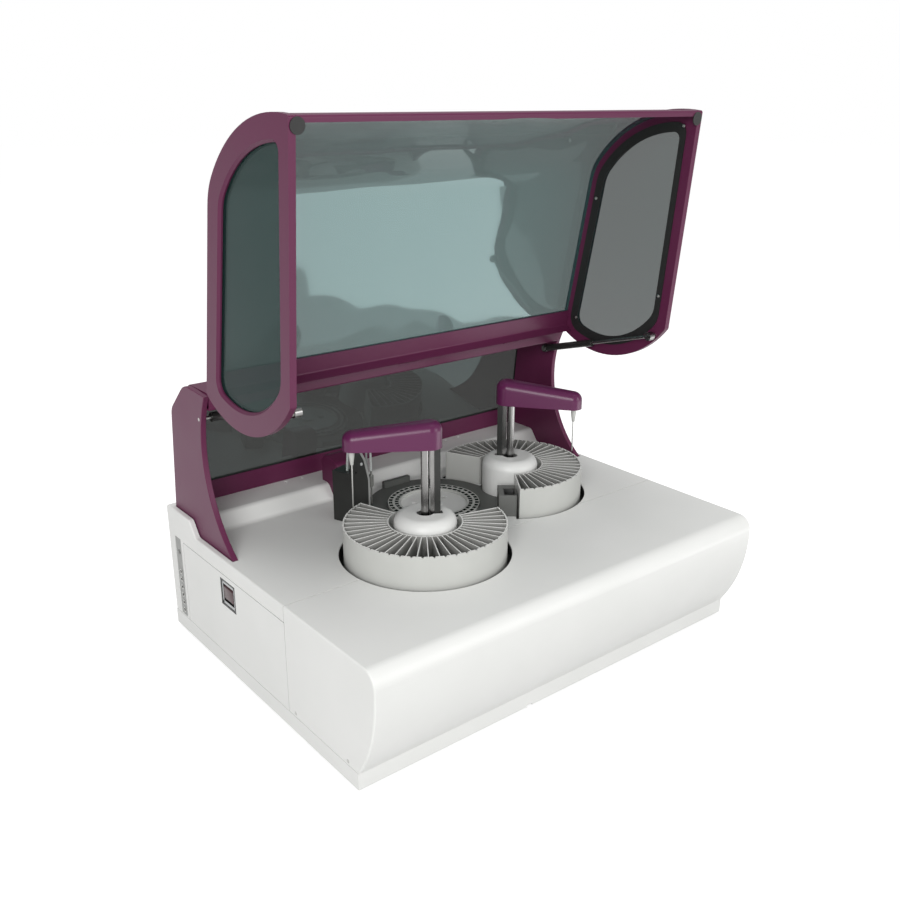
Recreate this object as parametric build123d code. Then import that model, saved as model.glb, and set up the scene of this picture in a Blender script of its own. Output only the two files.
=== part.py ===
from build123d import *
import os
from math import atan2, cos, degrees, hypot, radians, sin, sqrt, tan

# Benchtop chemistry analyzer, lid open. Millimetres, x to the right, y to the back, z up.
# The origin is under the middle of the body, on the bench.

# Clearances
gap = 0.3            # between pieces that lie side by side
run = 0.05           # radial, shaft in its bore
seam = 1.4           # visible joint between two shells
wall = 3.0           # moulded shells

# Body
body_w = 850.0
body_back = 337.0
nose_y = -337.0      # foremost line of the front cover
chin_y = -291.0      # foot of the front cover
belly_h = 151.0      # height of the foremost line above the plinth
plinth_y = -289.0
foot_h = 6.0
foot_r = 16.0
foot_inset = 45.0
plinth_h = 30.0
body_h = 218.0       # plinth underside to deck
ledge_rise = 27.5
crease_y = 240.0
slope_y = 219.0
cover_y = -92.0      # seam between front cover and main shell
bend_r = 12.0        # between deck, slope and ledge
nose_bend = 26.0     # front edge of the deck
rim_r = 3.0          # side edges of the shells
plinth_groove = 1.2  # shadow line round the plinth's top
side_panel_back = 276.0
side_panel_drop = 28.0
chassis_t = 3.0
frame_t = 3.0
notch_x = -86.0      # small notch under the plinth's front
notch_w = 12.0
notch_h = 3.0
slot_play = 1.5      # deck slots round the uprights
rear_panel_in = 40.0
vent_columns = (-200.0, 0.0, 200.0)
vent_rows = 10
vent_pitch = 10.0
vent_rise = 40.0
vent_w = 120.0
vent_h = 4.0
hole_r = 3.5         # holes in the ledge and the deck, pockets of the side screws
ledge_holes = (-197.0, -162.0, 201.0, 236.0)
ledge_hole_y = 295.0
screw_front = 29.0   # side screws, behind the chin and ahead of the seam
screw_back = 20.0
screw_rise = 6.0
screw_len = 7.0

# Left side fittings
power_y = 102.0
power_w = 53.0
power_h = 51.0
power_drop = 63.5    # deck to the middle of the power module
power_d = 18.0
rocker_w = 36.0
rocker_h = 33.0
rocker_deep = 12.0   # pocket in the module
rocker_pivot = 13.0  # pivot line behind the module's face
rocker_in = 1.0
rocker_t = 8.0
rocker_play = 0.5
strip_y = 298.5
strip_w = 25.0
strip_h = 160.0
port_count = 6
port_pitch = 16.0
port_r = 5.0
port_bore = 3.0
port_rise = 10.0     # lowest port above the strip's foot
port_len = 14.0
port_lip = 0.9
strip_in = 1.0       # face of the strip behind the side of the body
strip_lift = 2.0
cable_r = 5.0
cable_drop = 30.0

# Uprights, beam and rear window
upright_in = 21.0    # body side to the upright's inner face
upright_t = 10.0
upright_back = 318.0
upright_tab = 20.0   # part below the deck
nest_gap = 12.0      # between the lid's rear edge and the upright's front edge
beam_front = 160.0
beam_back = 246.0
beam_drop = 24.0     # underside below the hinge axis
beam_rise = 6.0      # top above the hinge axis
beam_bevel_w = 14.0
beam_bevel_h = 8.0
beam_wall = 3.0
bar_h = 36.5
bar_t = 12.0
bar_wall = 2.5
pane_t = 4.0
pane_in = 2.0        # pane's outer face inside the uprights' edge
upright_rise = 3.0   # front tip above the hinge axis
crown_back = 82.0
crown_rise = 7.0
crown_r = 45.0
shoulder_back = 143.0
shoulder_drop = 49.0
shoulder_r = 30.0
edge_break = 1.0

# Lid, drawn closed and turned open about its hinge
hinge_y = 153.0
hinge_h = 270.0      # hinge axis above the deck
open_angle = 84.6
lid_gap = 2.0
lid_front_y = -317.3
lid_front_r = 248.0
lid_front_over = 18.4  # how far the front arc alone would rise past the sloping top
lid_rear_r = 200.0
lid_rear_in = 183.0  # centre of the rear arc, forward of the hinge
lid_rear_down = 99.0
lid_slope = 5.75
lid_over = 1.2       # top line above the hinge axis
lid_round = 95.0
lid_in = 5.0         # side panel's inner face inside the upright's
lid_t = 11.0
opening_in = 37.0
opening_rise = 29.0
rebate = 7.0
glass_t = 4.0
gasket_in = 22.0
gasket_rise = 19.0
gasket_t = 2.5
gasket_lip = 2.0     # how far the gasket stops short of the opening's edge
window_bevel = 4.0
sheet_in = 4.0
sheet_t = 5.0
front_bar_d = 10.0
front_bar_h = 16.0
rear_bar_y = 144.0
rear_bar_w = 38.0
rear_bar_t = 9.0
hand_x = 56.0        # half width of the hand scoop
hand_deep = 1.6
pad_r = 11.2
pad_t = 1.5
pad_back = 13.5
pad_in = 2.0         # middle of a pad inside the side panel's inner face
knuckle_r = 5.0
knuckle_w = 16.0
hinge_pin_r = 2.5
hinge_places = (-260.0, 0.0, 260.0)

# Gas springs
spring_in = 13.0     # inside the lid's side panel
spring_back = 30.0   # lower pivot behind the hinge axis
spring_down = 42.0
stud_fwd = 58.2      # lid stud, measured on the closed lid
stud_down = 244.6
barrel_r = 7.0
barrel_len = 137.0
piston_r = 3.5
piston_in = 35.0     # part of the rod inside the barrel when the lid stands open
eye_r = 8.0
eye_w = 12.0
stud_r = 5.0
bolt_r = 3.0
bolt_head_r = 5.0
bolt_head_t = 2.7
bore_from = 30.0     # rod's bore, from the barrel's pivot

# Reaction disk
disk_y = 80.0
row_r = 82.6         # outer row of cuvettes
row_step = 11.6
cuvettes = 40
cuvette_w = 10.5
cuvette_l = 7.4
cuvette_deep = 26.0
ring_rise = 7.0
ring_h = 35.0
ring_in = 64.0
ring_edge = 5.0      # ring beyond the middle of the outer row
ring_play = 2.5
disc_t = 6.0
disc_up = 2.0        # inner disc's top above the deck
cap_r = 16.0
cap_t = 3.0
sleeve_r = 20.0
rotor_tail = 40.0
rotor_motor_w = 57.0
rotor_motor_h = 56.0
cover_r = 126.5
cover_t = 3.0
rotor_shaft_r = 6.0
lip_w = 62.0
lip_h = 15.0

# Trays and turrets
arm_reach = 121.0    # shaft to needle
tray_margin = 19.5   # tray edge beyond the needle
tray_in_r = 62.5
tray_rise = 56.0
tray_wall = 2.5
slots = 32
slot_angle = 7.5
fin_t = 1.4
groove = 8.5
well_depth = 21.0
well_wall = 2.0
well_end = 2.34      # degrees from a tray's end wall to the well's
tray_end = 1.38      # degrees of end wall
tray_floor = 3.0
collar = 5.0         # wall round the turret, outside the dome
dome_r = 54.0
dome_rise = 72.0
dome_top_r = 36.0
dome_wall = 2.5
dome_up = 0.8        # foot above the deck
keyhole_r = 15.0
keyhole_play = 4.0
keyhole_drop = 40.0
flange_up = 2.0
flange_t = 8.0
front_dir = 228.27   # from the disk centre to the front turret
rear_dir = -10.57
rear_over = 47.9     # how far the rear needle reaches past the disk's edge row
front_start = 107.25
rear_start = -124.25

# Arms
front_arm_dir = 148.5
rear_arm_dir = -53.0
front_arm_rise = 190.0
rear_arm_rise = 178.0
shaft_r = 7.0
column_w = 11.5
column_d = 10.0
column_back = 20.5
rail_w = 5.0
rail_d = 7.0
arm_post_r = 22.0
arm_tip_r = 18.0
arm_tail = 29.0
arm_nose = 136.0
front_arm_h = 47.0
rear_arm_h = 49.0
arm_tip_h = 34.0
arm_wall = 2.5
arm_round = 16.0     # rounding of the cover's top
carrier_up = 1.0
carrier_t = 3.0
column_drop = 10.0   # column and rail below the deck
shaft_tail = 34.0    # shaft below the spindle
rail_hole_r = 1.2
rail_pitch = 25.0
rail_first = 30.0
hub_tip_r = 4.0
hub_root_r = 9.0
needle_r = 1.2
front_needle = 88.0
rear_needle = 70.0
hub_len = 18.0

# Turret drives
spindle_r = 44.0
housing_t = 6.0
spindle_len = 74.0
drive_h = 42.0
drive_w = 112.0
drive_block_h = 36.0
drive_flange_t = 4.0
drive_flange_r = 60.5
motor_len = 40.0
motor_w = 34.0

# Reader box
reader_w = 33.0
reader_len = 52.0
reader_h = 42.0
reader_in = 84.5     # near end to the rear turret's axis
reader_side = 3.2    # long side beyond the line to that axis
reader_turn = 1.0
pocket_deep = 14.0
pocket_near = 16.0   # rims round the reader's pocket
pocket_far = 3.5
pocket_low = 9.5
pocket_high = 2.0
photometer_w = 36.0
photometer_d = 44.7
photometer_h = 34.0

# Wash station
wash_x = -172.8
wash_y = 98.0
wash_turn = 19.5
wash_w = 50.0
wash_d = 43.0
wash_h = 97.0
wash_plate_h = 134.0
wash_plate_t = 2.0
tube_r = 2.0
tube_rise = 58.0
housing_in = 38.0    # purple housing, from the column's front corner
housing_w = 46.0
housing_h = 90.0
column_short = 14.0  # column's end behind the side plate's
bracket_t = 5.0
bracket_d = 14.0
bracket_in = 30.0    # how far the bracket bends over the side plate
guide_t = 3.0
guide_in = 3.0
guide_top = 68.0
head_w = 10.0
head_h = 22.0
head_up = 52.0
nozzle_r = 1.3
nozzle_len = 34.0
nipple_r = 1.6
nipple_len = 8.0
nozzle_pitch = 10.0
nozzle_in = 3.0
tube_bend = 18.0

# Inside the body
board_in = 125.0     # from the body's right side
board_w = 240.0
board_d = 120.0
board_rise = 12.0
board_t = 1.6
board_back = 25.0
board_edge = 10.0
pump_in = 65.0       # from the body's left side

half_w = body_w / 2
upright_x = half_w - upright_in
lid_x = upright_x - lid_in
spring_x = lid_x - spring_in
base_z = foot_h
plinth_top = base_z + plinth_h
deck_z = base_z + body_h
ledge_z = deck_z + ledge_rise
deck_under = deck_z - wall
floor_z = base_z + chassis_t
hinge_z = deck_z + hinge_h
tray_r = arm_reach + tray_margin
opening_r = tray_r + groove
column_out = column_back + column_d / 2
rail_mid = column_back - column_d / 2 - rail_d / 2
ring_r = row_r + ring_edge
well_r = ring_r + ring_play
port_x = wash_w + bracket_t + 2 * gap + guide_t + head_w / 2

pieces = {}


def piece(name, *shapes):
    """Keep the solids of the shapes as one named piece."""
    pieces[name] = Compound([solid for one in shapes for solid in one.solids()])


def block(x0, x1, y0, y1, z0, z1):
    return Pos((x0 + x1) / 2, (y0 + y1) / 2, (z0 + z1) / 2) * Box(x1 - x0, y1 - y0, z1 - z0)


def post(x, y, z0, z1, r):
    return Pos(x, y, (z0 + z1) / 2) * Cylinder(r, z1 - z0)


def pin(x0, x1, y, z, r):
    return Pos((x0 + x1) / 2, y, z) * Rot(0, 90, 0) * Cylinder(r, x1 - x0)


def across(outline, x0, x1):
    """Push a side outline, drawn in y and z, from x0 to x1."""
    return extrude(Plane.YZ.offset(x0) * outline, x1 - x0, dir=(1, 0, 0))


def rise(outline, z0, z1):
    return extrude(Plane.XY.offset(z0) * outline, z1 - z0, dir=(0, 0, 1))


def shape(points, radii=0):
    return make_face(FilletPolyline(*points, radius=radii, close=True))


def polar(r, angle, centre=(0, 0)):
    return centre[0] + r * cos(radians(angle)), centre[1] + r * sin(radians(angle))


def sector(r0, r1, a0, a1):
    """Part of a ring between two angles, anticlockwise."""
    mid = (a0 + a1) / 2
    outer = ThreePointArc(polar(r1, a0), polar(r1, mid), polar(r1, a1))
    inner = ThreePointArc(polar(r0, a1), polar(r0, mid), polar(r0, a0))
    ends = [Line(polar(r1, a1), polar(r0, a1)), Line(polar(r0, a0), polar(r1, a0))]
    return make_face(Curve() + [outer, ends[0], inner, ends[1]])


def round_corner(outline, point, r):
    corner = outline.vertices().sort_by_distance((point[0], point[1], 0))[0]
    return fillet(corner, r)


front_centre = polar(row_r + arm_reach, front_dir, (0, disk_y))
rear_centre = polar(arm_reach + rear_over, rear_dir, (0, disk_y))
tray_span = slots * slot_angle
turrets = {
    "front": (front_centre, front_start, front_arm_dir, front_arm_rise, front_arm_h, front_needle),
    "rear": (rear_centre, rear_start, rear_arm_dir, rear_arm_rise, rear_arm_h, rear_needle),
}


# Body shells

def make_base():
    feet = []
    for x in (-half_w + foot_inset, half_w - foot_inset):
        for y in (plinth_y + foot_inset, body_back - foot_inset):
            feet.append(post(x, y, 0, foot_h, foot_r))
    piece("rubber_feet", *feet)
    ring = block(-half_w, half_w, plinth_y, body_back, base_z, plinth_top)
    inside = half_w - wall
    ring -= block(-inside, inside, plinth_y + wall, body_back - wall, base_z, plinth_top)
    ring -= block(notch_x - notch_w / 2, notch_x + notch_w / 2, plinth_y, plinth_y + wall,
                  base_z, base_z + notch_h)
    top, back = plinth_top - plinth_groove, body_back - plinth_groove
    edge = half_w - plinth_groove
    ring -= (block(-half_w, half_w, plinth_y, body_back, top, plinth_top)
             - block(-edge, edge, plinth_y + plinth_groove, back, top, plinth_top))
    piece("plinth_frame", ring)
    edge = inside - gap
    plate = block(-edge, edge, plinth_y + wall + gap, body_back - wall - gap, base_z, floor_z)
    for side in (-1, 1):
        x0, x1 = sorted((side * (upright_x - frame_t), side * upright_x))
        plate += block(x0, x1, upright_foot(), upright_back, base_z, deck_under)
    piece("chassis", plate)


def housing_outline(inset, over):
    y0 = cover_y + seam - over
    y1 = body_back - inset
    z0 = plinth_top - over
    points = [(y0, z0), (y1, z0), (y1, ledge_z - inset), (crease_y, ledge_z - inset)]
    points += [(slope_y, deck_z - inset), (y0, deck_z - inset)]
    return shape(points, [0, 0, max(bend_r / 2 - inset, 1), bend_r, bend_r, 0])


def upright_foot():
    """Where the upright's curved front edge meets the deck."""
    drop = hinge_z - lid_rear_down - deck_z
    return hinge_y - lid_rear_in + sqrt((lid_rear_r + nest_gap) ** 2 - drop ** 2)


def tray_openings():
    """What the trays and turrets take out of the deck."""
    cuts = []
    for centre, start, *rest in turrets.values():
        well = sector(dome_r + 1, opening_r, start - well_end, start + tray_span + well_end)
        cuts.append(Pos(*centre, 0) * rise(well, deck_under - 1, deck_z + 1))
        cuts.append(post(*centre, deck_under - 1, deck_z + 1, dome_r + collar))
    return cuts


def make_housing():
    shell = across(housing_outline(0, 0), -half_w, half_w)
    rims = [e for e in shell.edges() if abs(abs(e.center().X) - half_w) < 0.1
            and e.center().Z > deck_z - 1]
    shell = fillet(rims, rim_r)
    shell -= across(housing_outline(wall, wall), -half_w + wall, half_w - wall)
    panel_top = deck_z - side_panel_drop
    for side in (-1, 1):
        x0, x1 = sorted((side * (half_w - wall), side * half_w))
        shell -= block(x0, x1, cover_y, side_panel_back, plinth_top, panel_top)
        x0, x1 = sorted((side * (upright_x - gap), side * (upright_x + upright_t + slot_play)))
        shell -= block(x0, x1, upright_foot() - slot_play, upright_back + slot_play,
                       deck_under - 1, hinge_z)
    shell -= block(-half_w, -half_w + wall, strip_y - strip_w / 2, strip_y + strip_w / 2,
                   plinth_top + strip_lift, plinth_top + strip_lift + strip_h)
    panel_x = half_w - rear_panel_in
    shell -= block(-panel_x, panel_x, body_back - wall, body_back, plinth_top, deck_z)
    shell -= tray_openings()
    shell -= post(0, disk_y, deck_under - 1, deck_z + 1, well_r)
    for x in ledge_holes:
        shell -= post(x, ledge_hole_y, ledge_z - wall - 1, ledge_z + 1, hole_r)
    for x, y in wash_ports():
        shell -= post(x, y, deck_under - 1, deck_z + 1, hole_r)
    piece("main_shell", shell)
    panels = []
    for side in (-1, 1):
        x0, x1 = sorted((side * (half_w - wall), side * half_w))
        panels.append(block(x0, x1, cover_y + seam, side_panel_back - seam, plinth_top,
                            panel_top - seam))
    z = deck_z - power_drop
    hole = block(-half_w, -half_w + wall, power_y - power_w / 2, power_y + power_w / 2,
                 z - power_h / 2, z + power_h / 2)
    piece("side_panels", panels[0] - hole, panels[1])
    rear = block(-panel_x + gap, panel_x - gap, body_back - wall, body_back,
                 plinth_top, deck_z - gap)
    for x in vent_columns:
        for row in range(vent_rows):
            low = plinth_top + vent_rise + row * vent_pitch
            rear -= block(x - vent_w / 2, x + vent_w / 2, body_back - wall, body_back,
                          low, low + vent_h)
    piece("rear_panel", rear)


def cover_outline(inset, over):
    rear = cover_y + over
    reach = nose_y - chin_y
    r = (reach ** 2 + belly_h ** 2) / (2 * abs(reach))
    middle = (nose_y + r, plinth_top + belly_h)
    r -= inset
    foot = (middle[0] - sqrt(r ** 2 - (belly_h - inset) ** 2), plinth_top + inset)
    half = (middle[0] - sqrt(r ** 2 - (belly_h / 2) ** 2), middle[1] - belly_h / 2)
    brow = (nose_y + inset, middle[1])
    corner = (nose_y + inset, deck_z - inset)
    top = (rear, deck_z - inset)
    heel = (rear, plinth_top + inset)
    lines = [Line(brow, corner), Line(corner, top), Line(top, heel), Line(heel, foot)]
    face = make_face(Curve() + [ThreePointArc(foot, half, brow)] + lines)
    return round_corner(face, corner, nose_bend - inset)


def make_front_cover():
    cover = across(cover_outline(0, 0), -half_w, half_w)
    rims = [e for e in cover.edges() if abs(abs(e.center().X) - half_w) < 0.1
            and e.center().Z > plinth_top + 1 and e.center().Y < cover_y - 1]
    cover = fillet(rims, rim_r)
    inside = half_w - wall
    cover -= across(cover_outline(wall, wall), -inside, inside)
    cover -= block(-inside, inside, chin_y + 2 * wall, cover_y, plinth_top, plinth_top + wall)
    cover -= tray_openings()
    screws = []
    z = plinth_top + screw_rise
    for y in (chin_y + screw_front, cover_y - screw_back):
        for side in (-1, 1):
            x0, x1 = sorted((side * (half_w - screw_len), side * half_w))
            cover -= pin(x0, x1, y, z, hole_r)
            x0, x1 = sorted((side * (half_w - screw_len), side * (half_w - 2 * gap)))
            screws.append(pin(x0, x1, y, z, hole_r - gap))
    piece("front_cover", cover)
    piece("body_screws", *screws)


def make_left_fittings():
    z = deck_z - power_drop
    y0, y1 = power_y - power_w / 2, power_y + power_w / 2
    z0, z1 = z - power_h / 2, z + power_h / 2
    body = block(-half_w, -half_w + power_d, y0 + gap, y1 - gap, z0 + gap, z1 - gap)
    pocket = block(-half_w, -half_w + rocker_deep, power_y - rocker_w / 2, power_y + rocker_w / 2,
                   z - rocker_h / 2, z + rocker_h / 2)
    piece("power_module", body - pocket)
    drum = Cylinder(rocker_h / 2 - gap, rocker_w - 2 * rocker_play)
    rocker = Pos(-half_w + rocker_pivot, power_y, z) * Rot(90, 0, 0) * drum
    face_x = -half_w + rocker_in
    rocker &= block(face_x, face_x + rocker_t, y0, y1, z0, z1)
    piece("power_rocker", rocker)
    z0 = plinth_top + strip_lift + gap
    x0 = -half_w + strip_in
    strip = block(x0, x0 + wall, strip_y - strip_w / 2 + gap, strip_y + strip_w / 2 - gap,
                  z0, z0 + strip_h - 2 * gap)
    strip -= pin(x0, x0 + wall, strip_y, z0 + strip_h - cable_drop, cable_r)
    ports = []
    for i in range(port_count):
        height = z0 + port_rise + i * port_pitch
        strip -= pin(x0, x0 + wall, strip_y, height, port_r - 1)
        collar = pin(x0 - port_lip, x0, strip_y, height, port_r)
        stem = pin(x0 - port_lip, x0 + port_len, strip_y, height, port_r - 1 - run)
        bore = pin(x0 - port_lip, x0 + port_len, strip_y, height, port_bore)
        ports.append(collar + stem - bore)
    piece("connector_strip", strip)
    piece("fluid_ports", *ports)


# Uprights, beam, rear window

def upright_outline():
    centre = (hinge_y - lid_rear_in, hinge_z - lid_rear_down)
    r = lid_rear_r + nest_gap
    top_z = hinge_z + upright_rise
    foot = upright_foot()
    top = (centre[0] + sqrt(r ** 2 - (top_z - centre[1]) ** 2), top_z)
    mid = (centre[0] + r, centre[1])
    crown = (hinge_y + crown_back, hinge_z + crown_rise)
    shoulder = (hinge_y + shoulder_back, hinge_z - shoulder_drop)
    points = [(foot, deck_z), top, crown, shoulder, (upright_back, ledge_z)]
    points += [(upright_back, deck_z - upright_tab), (foot, deck_z - upright_tab)]
    sides = [Line(a, b) for a, b in zip(points[1:], points[2:] + points[:1])]
    face = make_face(Curve() + [ThreePointArc(points[0], mid, top)] + sides)
    face = round_corner(face, crown, crown_r)
    return round_corner(face, shoulder, shoulder_r)


def make_uprights():
    outline = upright_outline()
    pair = []
    for side in (-1, 1):
        x0, x1 = sorted((side * upright_x, side * (upright_x + upright_t)))
        upright = across(outline, x0, x1)
        rims = upright.faces().filter_by(Axis.X).edges()
        rims = [e for e in rims if e.center().Z > deck_z + 2]
        upright = chamfer(rims, edge_break)
        hole = pin(x0, x1, hinge_y + spring_back, hinge_z - spring_down, bolt_r)
        pair.append(upright - hole)
    piece("uprights", *pair)
    span = upright_x - gap
    z0, z1 = hinge_z - beam_drop, hinge_z + beam_rise
    box = shape([(beam_front, z0), (beam_back, z0), (beam_back, z1 - beam_bevel_h),
                 (beam_back - beam_bevel_w, z1), (beam_front, z1)], [3, 8, 8, 8, 4])
    core = offset(box, -beam_wall)
    beam = across(box, -span, span) - across(core, -span, span)
    bar_z = ledge_z + bar_h
    bar = block(-span, span, upright_back - bar_t, upright_back, ledge_z, bar_z)
    bar -= block(-span, span, upright_back - bar_t + bar_wall, upright_back - bar_wall,
                 ledge_z + bar_wall, bar_z - bar_wall)
    pane = offset(outline, -pane_in) - offset(outline, -pane_in - pane_t)
    pane &= shape([(beam_back + gap, bar_z), (body_back, bar_z), (body_back, hinge_z + 40),
                   (beam_back + gap, hinge_z + 40)])
    pane -= shape([(0, 0), (hinge_y + 90, 0), (hinge_y + 90, hinge_z - 30), (0, hinge_z - 30)])
    piece("base_bar", bar)
    piece("rear_window", across(pane, -span, span))
    knuckles, pins = [], []
    for x in hinge_places:
        for side in (-1, 1):
            a, b = sorted((x + side * (knuckle_w / 2 + gap), x + side * 1.5 * knuckle_w))
            leaf = block(a, b, hinge_y, beam_front, hinge_z - knuckle_r, hinge_z + knuckle_r)
            knuckle = leaf + pin(a, b, hinge_y, hinge_z, knuckle_r)
            knuckles.append(knuckle - pin(a, b, hinge_y, hinge_z, hinge_pin_r))
        pins.append(pin(x - 1.5 * knuckle_w, x + 1.5 * knuckle_w, hinge_y, hinge_z, hinge_pin_r))
    for knuckle in knuckles:
        beam += knuckle
    piece("cross_beam", beam)
    piece("hinge_pins", *pins)


# Lid

def lid_outline(inset, bottom, *rounds):
    """Closed lid seen from the side: bottom line, rear arc, sloping top, front arc."""
    rear = (hinge_y - lid_rear_in, hinge_z - lid_rear_down)
    rear_r = lid_rear_r - inset
    low = deck_z + lid_gap + bottom
    slope = tan(radians(lid_slope))
    lean = cos(radians(lid_slope))

    def top(y, drop=inset / lean):
        return hinge_z + lid_over - drop + (y - hinge_y) * slope

    front_y = lid_front_y + lid_front_r
    front = (front_y, top(front_y, 0) - (lid_front_r - lid_front_over) / lean)
    front_r = lid_front_r - inset

    def meet(centre, r, sign):
        """Point where the top line crosses a circle."""
        h = top(centre[0]) - centre[1]
        a, b, c = 1 + slope ** 2, 2 * slope * h, h ** 2 - r ** 2
        dy = (-b + sign * sqrt(b ** 2 - 4 * a * c)) / (2 * a)
        return centre[0] + dy, top(centre[0] + dy)

    def half_way(centre, r, p, q):
        a = atan2(p[1] - centre[1], p[0] - centre[0])
        b = atan2(q[1] - centre[1], q[0] - centre[0])
        if abs(b - a) > 3.2:
            b += 6.283185 if b < a else -6.283185
        return polar(r, degrees((a + b) / 2), centre)

    rear_low = (rear[0] + sqrt(rear_r ** 2 - (low - rear[1]) ** 2), low)
    rear_top = meet(rear, rear_r, 1)
    front_top = meet(front, front_r, -1)
    front_low = (front[0] - sqrt(front_r ** 2 - (low - front[1]) ** 2), low)
    edges = [Line(front_low, rear_low),
             ThreePointArc(rear_low, half_way(rear, rear_r, rear_low, rear_top), rear_top),
             Line(rear_top, front_top),
             ThreePointArc(front_top, half_way(front, front_r, front_top, front_low), front_low)]
    face = make_face(Curve() + edges)
    radii = (*rounds, lid_round - inset)
    for point, r in zip((front_low, rear_low, rear_top, front_top), radii):
        face = round_corner(face, point, r)
    return face


def opened(thing):
    """Turn a piece of the closed lid about the hinge to where it stands open."""
    turn = Pos(0, hinge_y, hinge_z) * Rot(-open_angle, 0, 0) * Pos(0, -hinge_y, -hinge_z)
    return turn * thing


def make_lid():
    outside = lid_outline(0, 0, 4, 8, 7)
    opening = lid_outline(opening_in, opening_rise, 12, 40, 22)
    seat, sill = opening_in - rebate, opening_rise - rebate
    pocket = lid_outline(seat, sill, 16, 46, 26)
    pane = lid_outline(seat + gap, sill + gap, 16, 46, 26)
    gasket = lid_outline(gasket_in, gasket_rise, 20, 50, 30)
    lip = lid_outline(opening_in + gasket_lip, opening_rise + gasket_lip, 12, 40, 22)
    panels, studs, panes, gaskets, pads = [], [], [], [], []
    low = deck_z + lid_gap
    for side in (-1, 1):
        x0, x1 = sorted((side * lid_x, side * (lid_x + lid_t)))
        pads.append(post(side * (lid_x - pad_in), lid_front_y + pad_back, low - pad_t, low, pad_r))
        panel = across(outside, x0, x1) - across(opening, x0, x1)
        a, b = sorted((side * lid_x, side * (lid_x + glass_t + gap)))
        panel -= across(pocket, a, b)
        face = panel.faces().sort_by(Axis.X)[0 if side < 0 else -1]
        panels.append(chamfer(face.inner_wires()[0].edges(), window_bevel))
        stud_y, stud_z = hinge_y - stud_fwd, hinge_z - stud_down
        a, b = sorted((side * (spring_x + eye_w / 2 + gap), side * lid_x))
        studs.append(pin(a, b, stud_y, stud_z, stud_r))
        a, b = sorted((side * lid_x, side * (lid_x + glass_t)))
        panes.append(across(pane, a, b))
        a, b = sorted((side * lid_x, side * (lid_x - gasket_t)))
        gaskets.append(across(gasket, a, b) - across(lip, a, b))
    piece("lid_side_panels", *[opened(panel) for panel in panels])
    piece("lid_studs", *[opened(stud) for stud in studs])
    piece("side_windows", *[opened(window) for window in panes])
    piece("window_gaskets", *[opened(seal) for seal in gaskets])
    piece("corner_pads", *[opened(pad) for pad in pads])
    span = lid_x - gap
    crown = lid_outline(sheet_in, 0, 4, 4, 3)
    skin = crown - lid_outline(sheet_in + sheet_t, 0, 4, 4, 3)
    sheet_low = low + front_bar_h + gap
    bar_front = rear_bar_y - rear_bar_w
    ahead, above = lid_front_y - front_bar_d, hinge_z + rear_bar_w
    skin &= shape([(ahead, sheet_low), (bar_front - gap, sheet_low), (bar_front - gap, above),
                   (ahead, above)])
    skin -= shape([(0, 0), (bar_front, 0), (bar_front, deck_z + hinge_h / 2),
                   (0, deck_z + hinge_h / 2)])
    piece("lid_sheet", opened(across(skin, -span, span)))
    bar_back = lid_front_y + front_bar_d
    bar = outside & shape([(ahead, low), (bar_back, low), (bar_back, sheet_low - gap),
                           (ahead, sheet_low - gap)])
    scoop_r = (hand_x ** 2 + hand_deep ** 2) / (2 * hand_deep)
    scoop = post(0, bar_back - hand_deep + scoop_r, low, sheet_low, scoop_r)
    piece("lid_front_bar", opened(across(bar, -span, span) - scoop))
    band = crown - lid_outline(sheet_in + rear_bar_t, 0, 4, 4, 3)
    band &= shape([(bar_front, deck_z + hinge_h / 2), (rear_bar_y, deck_z + hinge_h / 2),
                   (rear_bar_y, above), (bar_front, above)])
    rear_bar = across(band.faces().sort_by(Axis.Y)[-1], -span, span)
    for x in hinge_places:
        a, b = x - knuckle_w / 2, x + knuckle_w / 2
        leaf = block(a, b, rear_bar_y - knuckle_r - 1, hinge_y, hinge_z - 2 * knuckle_r,
                     hinge_z - 1)
        leaf += pin(a, b, hinge_y, hinge_z, knuckle_r)
        leaf -= pin(a, b, hinge_y, hinge_z, hinge_pin_r + run)
        rear_bar += leaf
    piece("lid_rear_bar", opened(rear_bar))


# Gas springs

def make_gas_springs():
    foot = (hinge_y + spring_back, hinge_z - spring_down)
    reach = hypot(stud_fwd, stud_down)
    angle = degrees(atan2(-stud_down, -stud_fwd)) - open_angle
    stud = polar(reach, angle, (hinge_y, hinge_z))
    length = hypot(stud[0] - foot[0], stud[1] - foot[1])
    lean = degrees(atan2(stud[1] - foot[1], stud[0] - foot[0]))
    lie = Pos(0, *foot) * Rot(lean, 0, 0)
    barrels, rods, bolts = [], [], []
    for side in (-1, 1):
        x = side * spring_x

        def along(r, y0, y1):
            return Pos(x, (y0 + y1) / 2, 0) * Rot(90, 0, 0) * Cylinder(r, y1 - y0)

        a, b = x - eye_w / 2, x + eye_w / 2
        barrel = along(barrel_r, eye_r - 3, barrel_len) + pin(a, b, 0, 0, eye_r)
        barrel -= pin(a, b, 0, 0, bolt_r + run)
        barrel -= along(piston_r + run, bore_from, barrel_len)
        barrels.append(lie * barrel)
        rod = along(piston_r, barrel_len - piston_in, length - eye_r + 1) + pin(a, b, length, 0, eye_r)
        rods.append(lie * rod)
        inner_x = x - side * (eye_w / 2 + gap)
        bolt = pin(*sorted((inner_x, side * (upright_x + upright_t))), 0, 0, bolt_r)
        head = pin(*sorted((inner_x, inner_x - side * bolt_head_t)), 0, 0, bolt_head_r)
        bolts.append(Pos(0, *foot) * (bolt + head))
    piece("spring_barrels", *barrels)
    piece("spring_rods", *rods)
    piece("spring_bolts", *bolts)


# Trays, wells, turrets, arms

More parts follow.
